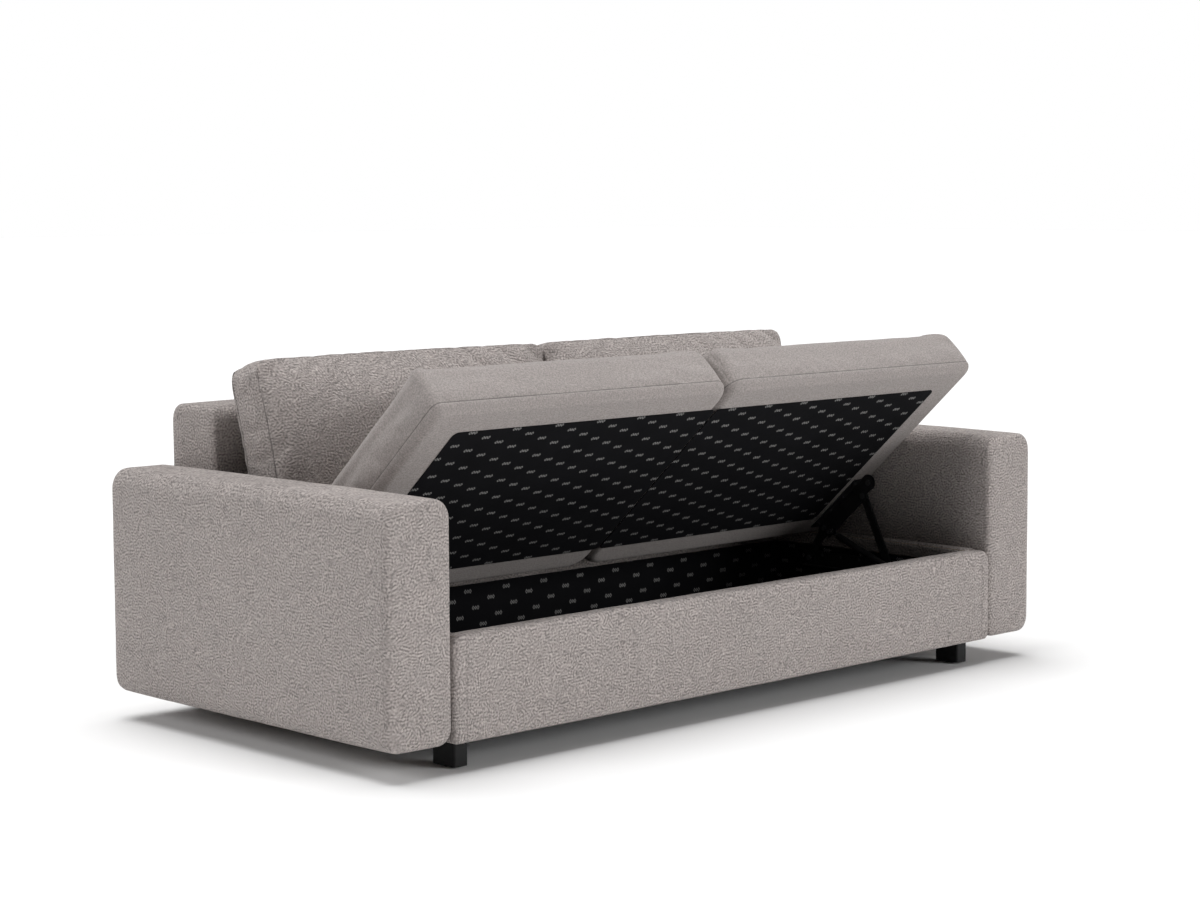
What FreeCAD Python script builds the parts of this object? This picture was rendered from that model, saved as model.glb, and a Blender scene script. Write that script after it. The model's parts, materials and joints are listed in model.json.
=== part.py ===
# Storage sofa with a seat that lifts at the front. Row frame: +X to the right, +Y to the back,
# +Z up, origin on the floor under the middle of the sofa. All sizes are millimetres and degrees.
# The sofa is drawn with its seat open, as it rests on its two lift mechanisms.
import FreeCAD, Part
import math
import os

os.makedirs("parts", exist_ok=True)

# Driving sizes of the body
overall_width = 2240.0
overall_depth = 1061.0
arm_width = 180.0
arm_setback = 6.0
arm_bottom = 67.0
arm_top = 606.0
arm_corner = 42.0
arm_front_roll = 13.0
arm_rear_roll = 38.0
base_bottom = 65.0
rim_top = 307.0
rim_roll = 15.0
front_wall = 51.0
side_wall = 40.0
front_pad = 14.0
fabric_wrap = 4.0
wrap_drop = 40.0
base_corner = 20.0
storage_depth = 677.0
floor_panel_thick = 12.0
dust_cover_thick = 1.6
lining_thick = 1.5
board_thick = 18.0
deck_top = 300.0
backrest_offset = 870.0
backrest_thick = 176.0
backrest_top = 751.0
backrest_corner = 36.0
backrest_side_gap = 3.0
backrest_bays = 4
upholstery_pad = 16.0
frame_timber = 22.0

# Driving sizes of the seat, measured from the seam line along its front edge
open_angle = 42.3
open_seam_back = 61.7
open_seam_height = 805.7
closed_seam_back = 5.0
closed_rest_gap = 1.0
seat_length = 732.0
seat_above_seam = 118.0
seat_crown = 6.0
seat_below_seam = 24.0
seat_side_gap = 7.0
module_gap = 3.0
seat_bulge = 10.0
seat_top_roll = 34.0
seat_under_roll = 24.0
seat_outer_corner = 18.0
seat_inner_corner = 46.0
seat_rail_inset = 40.0
seat_rail_thick = 25.0
seat_rail_low = 19.0
seat_rail_high = 36.0
webbing_thick = 2.5
webbing_width = 60.0
webbing_count = 6
seat_bays = 3
cover_side_margin = 96.0
cover_front_margin = 83.0
cover_rear_margin = 83.0
cover_inner_margin = 8.0
cover_thick = 3.0

# Driving sizes of the loose back cushions
cushion_lean = 15.0
cushion_border = 104.0
cushion_height = 418.0
cushion_end_gap = 25.0
cushion_split = 3.0
cushion_front_crown = 50.0
cushion_corner = 34.0
cushion_clear_of_seat = 8.0
cushion_draw = 4.0
cushion_foot_gap = 1.0
cushion_cap_low = 115.0
cushion_cap_high = 300.0
soft_gap = 0.4

# How far each step of a back cushion's crowns stands in from its ends, its foot and its head,
# with its corner radius there, from the flat of the crown to the seam
front_cap = (220.0, 125.0, 120.0, 60.0)
front_steps = ((0.93, 150.0, 85.0, 82.0, 60.0), (0.72, 84.0, 50.0, 48.0, 58.0),
               (0.38, 32.0, 22.0, 20.0, 48.0), (0.12, 7.0, 5.0, 5.0, 37.0))
rear_steps = ((0.4, 34.0, 24.0, 24.0, 46.0), (0.8, 100.0, 66.0, 66.0, 58.0))
rear_cap_end = 200.0
rear_cap_corner = 50.0
border_waist_end = 3.0
border_waist_side = 2.0

# How finely the padded forms are stepped
corner_steps = 4
side_steps = 4
roll_count = 3
least_corner = 3.0
flat_enough = 0.0001

# Driving sizes of the bolts inside
bolt_radius = 4.0
bolt_head_radius = 9.0
bolt_head_thick = 4.0
arm_bolt_height = 150.0
arm_bolt_count = 3
joining_height = 8.0
joining_shares = (0.16, 0.5, 0.84)

# Driving sizes of the lift mechanism
plate_thick = 3.0
link_thick = 5.0
plane_gap = 1.5
link_radius = 12.0
pivot_radius = 4.0
pivot_head_radius = 8.5
pivot_head_thick = 2.5
running_clearance = 0.05
opened_pivot_gap = 0.3
hole_clearance = 0.25
rear_pivot_back = 592.0
rear_pivot_height = 230.0
front_pivot_back = 302.0
front_pivot_height = 230.0
seat_front_eye = 505.0
seat_rear_eye = 676.0
bracket_front = 464.0
bracket_rear = 700.0
bracket_depth = 50.0
bracket_flange = 30.0
bracket_nose_radius = 22.0
bracket_screw_margin = 30.0
bracket_tail = 10.0
bracket_chamfer = 8.0
bracket_eye_web = 3.0
bracket_rear_web = 5.0
flange_setback = 12.0
rail_height = 40.0
rail_flange = 16.0
rail_overhang = 22.0
rail_screw_margin = 45.0
strut_seat_station = 655.0
strut_seat_drop = 66.0
strut_base_back = 255.0
strut_base_height = 220.0
strut_radius = 9.0
strut_wall = 1.4
strut_rod_radius = 4.0
strut_mouth_left = 34.0
strut_gland = 12.0
strut_piston = 14.0
strut_end_play = 4.0
strut_bore_past = 6.0
strut_tube_weld = 2.0
strut_eye_radius = 10.0
strut_stud_radius = 5.0
strut_head_radius = 7.0
strut_inboard = 4.0
screw_radius = 2.5
screw_head_radius = 4.5
screw_head_thick = 2.0
screw_length = 16.0
rail_screw_head = 0.9
bracket_screw_count = 4
rail_screw_count = 4

# Driving sizes of the feet
leg_width = 41.0
leg_length = 75.0
leg_from_outside = 216.0
leg_from_front = 48.0
leg_round = 6.0
glide_thick = 3.0
glide_radius = 14.0
glide_flats = 20
leg_bolt_radius = 4.0
leg_bolt_reach = 30.0
leg_bolt_grip = 10.0

# Worked out from the driving sizes
front = -overall_depth / 2
back = overall_depth / 2
arm_front = front + arm_setback
half_width = overall_width / 2
arm_inner = half_width - arm_width
box_inner = arm_inner - side_wall + fabric_wrap / 2 + 0.5
storage_front = front + front_wall
storage_rear = storage_front + storage_depth
board_low = base_bottom + dust_cover_thick
floor_top = board_low + floor_panel_thick
backrest_front = arm_front + backrest_offset
backrest_back = backrest_front + backrest_thick
seat_half = arm_inner - seat_side_gap
tilt = math.radians(open_angle)
open_seam_y = arm_front + open_seam_back
closed_seam_y = arm_front + closed_seam_back
closed_seam_z = rim_top + closed_rest_gap + seat_below_seam
wrap_low = rim_top - wrap_drop
side_board_inner = box_inner
side_board_outer = arm_inner - fabric_wrap
lean = math.radians(cushion_lean)
seat_top = seat_above_seam + seat_crown

# The back cushion's front foot stands clear of the closed seat and touches the open seat's top
cushion_foot_z = closed_seam_z + seat_top + cushion_clear_of_seat
cushion_foot_y = (open_seam_y + (open_seam_height - cushion_foot_z) / math.tan(tilt)
                  + (seat_top + soft_gap) / math.sin(tilt))

# Its rear crown reaches the backrest, which it leans on
crown_reach = (backrest_front - soft_gap - cushion_foot_y
               - cushion_cap_high * math.sin(lean)) / math.cos(lean)


def vec(x, y, z):
    return FreeCAD.Vector(x, y, z)


def block(x0, x1, y0, y1, z0, z1):
    return Part.makeBox(x1 - x0, y1 - y0, z1 - z0, vec(x0, y0, z0))


def rod_x(x0, x1, y, z, radius):
    return Part.makeCylinder(radius, x1 - x0, vec(x0, y, z), vec(1, 0, 0))


def flip(shape):
    return shape.mirror(vec(0, 0, 0), vec(1, 0, 0))


def fuse(shapes):
    return shapes[0].fuse(shapes[1:]).removeSplitter() if len(shapes) > 1 else shapes[0]


def round_edges(shape, radius, wanted):
    edges = [edge for edge in shape.Edges if wanted(edge)]
    return shape.makeFillet(radius, edges)


def runs_along(edge, axis):
    ends = [vertex.Point for vertex in edge.Vertexes]
    if len(ends) < 2:
        return False
    step = ends[1].sub(ends[0])
    parts = [abs(step.x), abs(step.y), abs(step.z)]
    return parts[axis] > 0.999 * step.Length


def lies_at(edge, axis, value):
    spots = [edge.CenterOfMass] + [vertex.Point for vertex in edge.Vertexes]
    return all(abs((spot.x, spot.y, spot.z)[axis] - value) < 0.01 for spot in spots)


def save(name, shape):
    shape.exportStep("parts/" + name + ".step")


# Where a seat point stands when the seat is open: s runs back from the seam, n runs up
def open_point(s, n):
    y = open_seam_y + s * math.cos(tilt) + n * math.sin(tilt)
    z = open_seam_height - s * math.sin(tilt) + n * math.cos(tilt)
    return y, z


# The lift turns the seat about one pole between its two ends of travel. A base pivot and its
# seat eye lie half the open angle apart, seen from that pole, so each link keeps its length.
mid_y = (open_seam_y + closed_seam_y) / 2
mid_z = (open_seam_height + closed_seam_z) / 2
drop_y = closed_seam_y - open_seam_y
drop_z = closed_seam_z - open_seam_height
reach = 0.5 / math.tan(tilt / 2)
pole_y = mid_y - drop_z * reach
pole_z = mid_z + drop_y * reach
rear_pivot = (arm_front + rear_pivot_back, rear_pivot_height)
front_pivot = (arm_front + front_pivot_back, front_pivot_height)


def eye_for(pivot, station):
    heading = math.atan2(pivot[1] - pole_z, pivot[0] - pole_y) - tilt / 2
    along = math.cos(heading) * math.cos(tilt) - math.sin(heading) * math.sin(tilt)
    from_seam = (pole_y - open_seam_y) * math.cos(tilt) - (pole_z - open_seam_height) * math.sin(tilt)
    distance = (station - from_seam) / along
    y = pole_y + distance * math.cos(heading)
    z = pole_z + distance * math.sin(heading)
    rise = (y - open_seam_y) * math.sin(tilt) + (z - open_seam_height) * math.cos(tilt)
    return (y, z), rise


rear_eye, rear_eye_rise = eye_for(rear_pivot, seat_rear_eye)
front_eye, front_eye_rise = eye_for(front_pivot, seat_front_eye)
strut_eye = open_point(strut_seat_station, -strut_seat_drop)
strut_stud = (arm_front + strut_base_back, strut_base_height)

# Planes of the mechanism, from the wall inwards
rail_outer = box_inner - lining_thick
rail_inner = rail_outer - plate_thick
link_outer = rail_inner - plane_gap
link_inner = link_outer - link_thick
bracket_outer = link_inner - plane_gap
bracket_inner = bracket_outer - plate_thick
strut_x = bracket_inner - strut_inboard - strut_radius

# The gas strut's lengths along its own line
strut_eye_half = strut_radius * 0.6
strut_dy = strut_eye[0] - strut_stud[0]
strut_dz = strut_eye[1] - strut_stud[1]
strut_length = math.hypot(strut_dy, strut_dz)
closed_eye = (closed_seam_y + strut_seat_station, closed_seam_z - strut_seat_drop)
strut_closed_length = math.hypot(closed_eye[0] - strut_stud[0], closed_eye[1] - strut_stud[1])
strut_stroke = strut_closed_length - strut_length
tube_start = strut_eye_radius
tube_end = strut_length - strut_mouth_left
piston_start = tube_end - strut_gland - strut_stroke - strut_piston - strut_end_play


# Ring of points round a rectangle with arc corners, whose sides bow out by the given amounts
def ring(lows, highs, corners, bows, place, side_steps):
    a0, b0 = lows
    a1, b1 = highs
    low_low, high_low, high_high, low_high = corners
    turns = [(a1 - high_low, b0 + high_low, high_low, -90),
             (a1 - high_high, b1 - high_high, high_high, 0),
             (a0 + low_high, b1 - low_high, low_high, 90),
             (a0 + low_low, b0 + low_low, low_low, 180)]
    points = []
    for number, (ca, cb, radius, start) in enumerate(turns):
        for step in range(corner_steps + 1):
            angle = math.radians(start + 90.0 * step / corner_steps)
            points.append((ca + radius * math.cos(angle), cb + radius * math.sin(angle)))
        after = turns[(number + 1) % 4]
        turn = math.radians(start + 90)
        out_a, out_b = math.cos(turn), math.sin(turn)
        first = points[-1]
        last = (after[0] + after[2] * out_a, after[1] + after[2] * out_b)
        for step in range(1, side_steps):
            share = step / side_steps
            swell = bows[(number + 1) % 4] * math.sin(math.pi * share)
            points.append((first[0] + (last[0] - first[0]) * share + out_a * swell,
                           first[1] + (last[1] - first[1]) * share + out_b * swell))
    return [place(a, b) for a, b in points]


# Solid through a row of rings with equal counts: flat quads where they are flat, else triangles
def loft(rings):
    faces = [Part.Face(Part.makePolygon(end + [end[0]])) for end in (rings[0], rings[-1])]
    for low, high in zip(rings, rings[1:]):
        for i in range(len(low)):
            j = (i + 1) % len(low)
            a, b, c, d = low[i], low[j], high[j], high[i]
            normal = b.sub(a).cross(d.sub(a))
            normal.normalize()
            if abs(c.sub(a).dot(normal)) < flat_enough:
                faces.append(Part.Face(Part.makePolygon([a, b, c, d, a])))
            else:
                faces.append(Part.Face(Part.makePolygon([a, b, c, a])))
                faces.append(Part.Face(Part.makePolygon([a, c, d, a])))
    shell = Part.makeShell(faces)
    shell.sewShape()
    solid = Part.makeSolid(shell)
    if solid.Volume < 0:
        solid.reverse()
    return solid


# Steps of a rolled edge: how far in from the face, and how much the outline shrinks there
def roll_steps(radius):
    turns = [math.radians(90.0 * i / roll_count) for i in range(roll_count + 1)]
    return [(radius * (1 - math.cos(turn)), radius * (1 - math.sin(turn))) for turn in turns]


# Padded block along one axis whose two end faces have rolled edges
def padded_bar(start, end, start_roll, end_roll, lows, highs, corners, place):
    rings = []
    stations = [(start + depth, inset) for depth, inset in roll_steps(start_roll)]
    stations += [(end - depth, inset) for depth, inset in reversed(roll_steps(end_roll))]
    for at, inset in stations:
        radii = [max(radius - inset, least_corner) for radius in corners]
        rings.append(ring((lows[0] + inset, lows[1] + inset), (highs[0] - inset, highs[1] - inset),
                          radii, (0, 0, 0, 0), lambda a, b: place(at, a, b), 1))
    return loft(rings)


# Prism with so many flats along x: hexagon heads and nuts, and shanks hidden in wood
def flats_x(x0, x1, y, z, radius, flats):
    turn = 2 * math.pi / flats
    points = [vec(x0, y + radius * math.cos(turn * i), z + radius * math.sin(turn * i))
              for i in range(flats)]
    return Part.Face(Part.makePolygon(points + [points[0]])).extrude(vec(x1 - x0, 0, 0))


def flats_z(x, y, z0, z1, radius, flats):
    turn = 2 * math.pi / flats
    points = [vec(x + radius * math.cos(turn * i), y + radius * math.sin(turn * i), z0)
              for i in range(flats)]
    return Part.Face(Part.makePolygon(points + [points[0]])).extrude(vec(0, 0, z1 - z0))


# Flat bar with round ends between two pivots, given as (y, z)
def link_bar(start, end, radius, x0, x1):
    dy, dz = end[0] - start[0], end[1] - start[1]
    length = math.hypot(dy, dz)
    dy, dz = dy / length, dz / length

    def spot(base, along, across):
        return vec(x0, base[0] + dy * along - dz * across, base[1] + dz * along + dy * across)

    edges = [Part.LineSegment(spot(start, 0, radius), spot(end, 0, radius)).toShape(),
             Part.Arc(spot(end, 0, radius), spot(end, radius, 0), spot(end, 0, -radius)).toShape(),
             Part.LineSegment(spot(end, 0, -radius), spot(start, 0, -radius)).toShape(),
             Part.Arc(spot(start, 0, -radius), spot(start, -radius, 0), spot(start, 0, radius)).toShape()]
    return Part.Face(Part.Wire(edges)).extrude(vec(x1 - x0, 0, 0))


# Arms: a padded shell round a timber box
def arm_parts():
    shell = padded_bar(arm_front, back, arm_front_roll, arm_rear_roll, (arm_inner, arm_bottom),
                       (half_width, arm_top), [arm_corner] * 4, lambda y, x, z: vec(x, y, z))
    x0, x1 = arm_inner + upholstery_pad, half_width - upholstery_pad
    y0, y1 = arm_front + upholstery_pad, back - upholstery_pad * 2
    z0, z1 = arm_bottom + upholstery_pad, arm_top - upholstery_pad * 1.5
    room = block(x0, x1, y0, y1, z0, z1)
    hollow = block(x0 + frame_timber, x1 - frame_timber, y0 + frame_timber, y1 - frame_timber,
                   z0 + frame_timber, z1 - frame_timber)
    frame = room.cut(hollow)
    cover = shell.cut(room)
    return cover, frame


def arm_bolt_spots():
    span = storage_depth - 2 * leg_length
    first = storage_front + leg_length
    return [(first + span * i / (arm_bolt_count - 1), arm_bolt_height) for i in range(arm_bolt_count)]


# Bolts that hold an arm to the side board: head on the board, nut inside the arm's frame
def arm_bolts():
    bolts = []
    head_face = side_board_inner
    nut_face = arm_inner + upholstery_pad + frame_timber
    for y, z in arm_bolt_spots():
        shank = flats_x(head_face, nut_face + bolt_head_thick, y, z, bolt_radius, 6)
        head = flats_x(head_face, head_face + bolt_head_thick, y, z, bolt_head_radius, 6)
        nut = flats_x(nut_face, nut_face + bolt_head_thick, y, z, bolt_head_radius, 6)
        bolts.append(fuse([shank, head, nut]))
    return bolts


# Front wall of the box: a board inside a padded fabric wrap that turns over the rim
def front_wall_parts():
    y1 = storage_front
    outer = block(-arm_inner + 1, arm_inner - 1, front, y1, base_bottom, rim_top)
    outer = round_edges(outer, rim_roll,
                        lambda e: runs_along(e, 0) and lies_at(e, 2, rim_top))
    outer = round_edges(outer, base_corner,
                        lambda e: runs_along(e, 2) and lies_at(e, 1, front))
    y0 = front + front_pad
    board = block(-arm_inner + front_pad, arm_inner - front_pad, y0, y1 - fabric_wrap,
                  board_low, rim_top - fabric_wrap * 1.5)
    under = block(-arm_inner + front_pad, arm_inner - front_pad, y0, y1 - fabric_wrap,
                  base_bottom - 1, board_low)
    open_back = block(-arm_inner + front_pad, arm_inner - front_pad, y1 - fabric_wrap, y1 + 1,
                      base_bottom - 1, wrap_low)
    cover = outer.cut(board).cut(under).cut(open_back)
    return cover, board


# Side wall: board and the fabric wrap over its rim
def side_wall_parts():
    y0, y1 = storage_front, backrest_front
    x0, x1 = box_inner - fabric_wrap, arm_inner
    outer = block(x0, x1, y0, y1, board_low, rim_top)
    outer = round_edges(outer, rim_roll, lambda e: runs_along(e, 1) and lies_at(e, 2, rim_top))
    board_top = rim_top - fabric_wrap * 1.5
    board = block(side_board_inner, side_board_outer, y0, y1, board_low, board_top)
    inner_leg = block(x0 - 1, side_board_inner, y0 - 1, y1 + 1, board_low - 1, wrap_low)
    deck_side = block(x0 - 1, side_board_inner, storage_rear - fabric_wrap, y1 + 1, board_low - 1,
                      deck_top)
    cover = outer.cut(board).cut(inner_leg).cut(deck_side)
    return cover, board


# Rear wall of the box, and the fabric-covered deck from it to the backrest
def rear_parts():
    x1 = box_inner
    board = block(-x1, x1, storage_rear, storage_rear + board_thick, board_low,
                  deck_top - fabric_wrap - board_thick)
    panel = block(-x1, x1, storage_rear, backrest_front, deck_top - fabric_wrap - board_thick,
                  deck_top - fabric_wrap)
    wrap = block(-x1, x1, storage_rear - fabric_wrap, backrest_front, wrap_low, deck_top)
    wrap = round_edges(wrap, fabric_wrap * 1.5,
                       lambda e: runs_along(e, 0) and lies_at(e, 2, deck_top)
                       and lies_at(e, 1, storage_rear - fabric_wrap))
    wrap = wrap.cut(block(-x1 - 1, x1 + 1, storage_rear, backrest_front + 1,
                          wrap_low - 1, deck_top - fabric_wrap))
    return board, panel, wrap


# Lining of the box, one folded skin: floor, two ends, front and rear
def lining_part():
    x1 = box_inner
    y0, y1 = storage_front - fabric_wrap, storage_rear
    outer = block(-x1, x1, y0, y1, floor_top, wrap_low)
    inner = block(-x1 + lining_thick, x1 - lining_thick, y0 + lining_thick, y1 - lining_thick,
                  floor_top + lining_thick, wrap_low + 1)
    return outer.cut(inner)


def floor_parts():
    x1 = box_inner
    panel = block(-x1, x1, storage_front - fabric_wrap, storage_rear, board_low, floor_top)
    dust = block(-arm_inner + front_pad, arm_inner - front_pad, front + front_pad, backrest_front,
                 base_bottom, board_low)
    return panel, dust


# Backrest: padded shell round a timber ladder frame
def backrest_parts():
    x1 = arm_inner - backrest_side_gap
    shell = padded_bar(-x1, x1, arm_front_roll, arm_front_roll, (backrest_front, base_bottom),
                       (backrest_back, backrest_top),
                       [least_corner, least_corner, backrest_corner, backrest_corner],
                       lambda x, y, z: vec(x, y, z))
    pad = upholstery_pad
    room = block(-x1 + pad, x1 - pad, backrest_front + pad, backrest_back - pad,
                 base_bottom + pad, backrest_top - pad * 1.5)
    frame = room
    bays = backrest_bays
    low, high = base_bottom + pad + frame_timber * 2, backrest_top - pad * 1.5 - frame_timber * 2
    pitch = 2 * (x1 - pad - frame_timber) / bays
    for i in range(bays):
        left = -x1 + pad + frame_timber + pitch * i
        right = left + pitch - frame_timber
        if i == bays - 1:
            right = left + pitch
        frame = frame.cut(block(left, right, backrest_front, backrest_back, low, high))
    inner = block(-x1 + pad + frame_timber, x1 - pad - frame_timber,
                  backrest_front + pad + frame_timber, backrest_back - pad - frame_timber, low, high)
    return shell.cut(room), frame.cut(inner)


# Seat module between x0 and x1 in the seat's own frame, drawn as x, s, n
def seat_cushion(x0, x1, inner_low):
    def level(n, inset, bulge):
        shrink = inset * 0.6
        outer = max(seat_outer_corner - shrink * 0.4, 6.0) + inset * 0.5
        inner = max(seat_inner_corner - shrink * 0.6, 14.0) + inset * 0.5
        ends = (inner, outer, outer, inner) if inner_low else (outer, inner, inner, outer)
        gap = 0.0 if inset == 0 else inset
        side_low = 0.3 * gap if inner_low else gap
        side_high = gap if inner_low else 0.3 * gap
        lows = (x0 + side_low, gap)
        highs = (x1 - side_high, seat_length - gap)
        return ring(lows, highs, ends, (bulge, 0, 0, 0), lambda a, b: vec(a, b, n), side_steps)

    low, high = -seat_below_seam, seat_above_seam
    rings = [level(low, seat_under_roll, 0.0),
             level(low * 0.55, seat_under_roll * 0.37, 3.0),
             level(0.0, 0.0, seat_bulge * 0.8),
             level(high * 0.4, 0.5, seat_bulge),
             level(high - seat_top_roll, 3.0, seat_bulge * 0.8),
             level(high - seat_top_roll * 0.35, seat_top_roll * 0.4, seat_bulge * 0.5),
             level(high, seat_top_roll * 1.35, 0.0),
             level(high + seat_crown * 0.6, seat_top_roll * 2.6, 0.0),
             level(high + seat_crown, seat_top_roll * 5.0, 0.0)]
    return loft(rings)


def seat_module(right_side):
    if right_side:
        x0, x1 = module_gap / 2, seat_half
    else:
        x0, x1 = -seat_half, -module_gap / 2
    body = seat_cushion(x0, x1, right_side)
    inset = seat_rail_inset
    rail_x0, rail_x1 = x0 + inset, x1 - inset
    s0, s1 = inset, seat_length - inset
    room = block(rail_x0, rail_x1, s0, s1, -seat_rail_low, seat_rail_high + webbing_thick)
    mouth_x0 = x0 + (cover_inner_margin if right_side else cover_side_margin)
    mouth_x1 = x1 - (cover_side_margin if right_side else cover_inner_margin)
    mouth_s0, mouth_s1 = cover_front_margin, seat_length - cover_rear_margin
    mouth = block(mouth_x0, mouth_x1, mouth_s0, mouth_s1, -seat_below_seam - 20, -seat_rail_low)
    cushion = body.cut(room).cut(mouth)
    frame = block(rail_x0, rail_x1, s0, s1, -seat_rail_low, seat_rail_high)
    bays = seat_bays
    t = seat_rail_thick
    pitch = (rail_x1 - rail_x0 - t) / bays
    for i in range(bays):
        left = rail_x0 + t + pitch * i
        frame = frame.cut(block(left, left + pitch - t, s0 + t, s1 - t, -seat_rail_low - 1,
                                seat_rail_high + 1))
    cover = block(mouth_x0, mouth_x1, mouth_s0, mouth_s1, -seat_rail_low - cover_thick,
                  -seat_rail_low)
    straps = []
    strap_pitch = (rail_x1 - rail_x0) / webbing_count
    for i in range(webbing_count):
        mid = rail_x0 + strap_pitch * (i + 0.5)
        straps.append(block(mid - webbing_width / 2, mid + webbing_width / 2, s0, s1,
                            seat_rail_high, seat_rail_high + webbing_thick))
    return cushion, frame, cover, straps


def joining_stations():
    return [seat_length * share for share in joining_shares]


def rail_reach():
    return module_gap / 2 + seat_rail_inset + seat_rail_thick


# Bolts that hold the two seat frames side by side
def seat_joining_bolts():
    bolts = []
    face = rail_reach()
    for s in joining_stations():
        shank = flats_x(-face, face, s, joining_height, bolt_radius, 6)
        head = flats_x(-face - bolt_head_thick, -face, s, joining_height, bolt_head_radius, 6)
        nut = flats_x(face, face + bolt_head_thick, s, joining_height, bolt_head_radius, 6)
        bolts.append(fuse([shank, head, nut]))
    return bolts


# Back cushion in its own frame: x along the sofa, w from front seam to back, u up the lean
def back_cushion(x0, x1):
    top = cushion_height

    def level(w, inset_x, inset_low, inset_high, radius, draw):
        bows = (-draw, -draw, draw * 0.5, -draw)
        return ring((x0 + inset_x, inset_low), (x1 - inset_x, top - inset_high), [radius] * 4, bows,
                    lambda a, b: vec(a, w, b), side_steps)

    border = cushion_border
    crown = cushion_front_crown
    deep = crown_reach - border
    rings = [level(-crown, *front_cap, 0)]
    for (share, *insets), drawn in zip(front_steps, (0, 0, 0.5, 1)):
        rings.append(level(-crown * share, *insets, cushion_draw * drawn))
    rings.append(level(0.0, 0.0, 0.0, 0.0, cushion_corner, cushion_draw))
    rings.append(level(border * 0.5, border_waist_end, border_waist_side, border_waist_side,
                       cushion_corner, cushion_draw * 1.5))
    rings.append(level(border, 0.0, 0.0, 0.0, cushion_corner, cushion_draw))
    for (share, *insets), drawn in zip(rear_steps, (0.5, 0)):
        rings.append(level(border + deep * share, *insets, cushion_draw * drawn))
    rings.append(level(border + deep, rear_cap_end, cushion_cap_low, top - cushion_cap_high,
                       rear_cap_corner, 0))
    return loft(rings)


# The cushion's foot is pressed flat where it comes down over the closed seat
def flat_foot(cushion):
    top = closed_seam_z + seat_top + cushion_foot_gap
    return cushion.cut(block(-half_width, half_width, front, back, 0, top))


def cushion_place():
    return FreeCAD.Placement(vec(0, cushion_foot_y, cushion_foot_z),
                             FreeCAD.Rotation(vec(1, 0, 0), -cushion_lean))


def seat_place():
    return FreeCAD.Placement(vec(0, open_seam_y, open_seam_height),
                             FreeCAD.Rotation(vec(1, 0, 0), -open_angle))


def placed(shape, place):
    moved = shape.copy()
    moved.Placement = place.multiply(moved.Placement)
    return moved


# Seat bracket of the right side in the seat's frame: a hanging plate and a flange with screws
def bracket_screw_x():
    return bracket_inner - bracket_flange * 0.4


def bracket_screw_stations():
    first = bracket_front + bracket_screw_margin
    span = bracket_rear - bracket_screw_margin - first
    return [first + span * i / (bracket_screw_count - 1) for i in range(bracket_screw_count)]


def seat_bracket():
    x0, x1 = bracket_inner, bracket_outer
    top = -seat_below_seam
    low = top - bracket_depth
    nose = bracket_nose_radius
    tail = bracket_rear - bracket_tail
    plate = block(x0, x1, bracket_front, tail, low + bracket_chamfer, top)
    plate = fuse([plate,
                  block(x0, x1, bracket_front + bracket_screw_margin, tail - bracket_tail, low, top),
                  rod_x(x0, x1, bracket_front, top - nose, nose),
                  rod_x(x0, x1, seat_front_eye, front_eye_rise, link_radius + bracket_eye_web),
                  rod_x(x0, x1, seat_rear_eye, rear_eye_rise, link_radius + bracket_rear_web),
                  rod_x(x0, x1, strut_seat_station, -strut_seat_drop, link_radius)])
    flange = block(x0 - bracket_flange, x0, bracket_front + flange_setback, tail,
                   top - plate_thick, top)
    return fuse([plate, flange])


def bracket_screws():
    screws = []
    top = -seat_below_seam
    for side in (-1, 1):
        for s in bracket_screw_stations():
            x = side * bracket_screw_x()
            shank = flats_z(x, s, top - plate_thick, top + screw_length, screw_radius, 6)
            head = flats_z(x, s, top - plate_thick - screw_head_thick, top - plate_thick,
                           screw_head_radius, 6)
            screws.append(fuse([shank, head]))
    return screws


# Pin at the seat's rear eye: tail in the bracket, collar, shank in the link, head outside
def seat_rear_pin():
    y, z = seat_rear_eye, rear_eye_rise
    tail = flats_x(bracket_inner - pivot_head_thick, bracket_inner, y, z, pivot_head_radius, 6)
    shank = rod_x(bracket_inner, link_outer + plane_gap, y, z, pivot_radius)
    collar = flats_x(bracket_outer, link_inner - hole_clearance, y, z, pivot_head_radius, 12)
    return fuse([tail, shank, collar])


# Rivet heads on the bracket where the front link and the strut stand beside it
def seat_rivet_heads():
    front = flats_x(bracket_inner - pivot_head_thick, bracket_inner, seat_front_eye, front_eye_rise,
                    pivot_head_radius, 12)
    nose = flats_x(bracket_inner - pivot_head_thick, bracket_inner, bracket_front,
                   -seat_below_seam - bracket_nose_radius, pivot_head_radius, 12)
    return [front, nose]


def link_hole(pivot):
    return rod_x(link_inner - 1, link_outer + 1, pivot[0], pivot[1], pivot_radius + running_clearance)


def rear_link():
    bar = link_bar(rear_pivot, rear_eye, link_radius, link_inner, link_outer)
    return bar.cut(link_hole(rear_pivot)).cut(link_hole(rear_eye))


def front_link():
    bar = link_bar(front_pivot, front_eye, link_radius, link_inner, link_outer)
    return bar.cut(link_hole(front_pivot)).cut(link_hole(front_eye))


# The front link's upper rivet rides on the link and stops short of the bracket
def front_link_rivet():
    y, z = front_eye
    start = link_inner - plane_gap + opened_pivot_gap
    shank = rod_x(start, link_outer, y, z, pivot_radius + running_clearance)
    head = flats_x(link_outer, link_outer + plane_gap, y, z, pivot_head_radius, 12)
    return fuse([shank, head])


# Angle rail on the wall of the box that carries the base pivots
def base_rail():
    y0 = strut_stud[0] - rail_overhang
    y1 = rear_pivot[0] + rail_overhang
    z0 = (front_pivot_height + rear_pivot_height) / 2 - rail_height / 2
    plate = block(rail_inner, rail_outer, y0, y1, z0, z0 + rail_height)
    flange = block(rail_outer - rail_flange, rail_outer, y0, y1, z0 - plate_thick, z0)
    return fuse([plate, flange])


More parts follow.
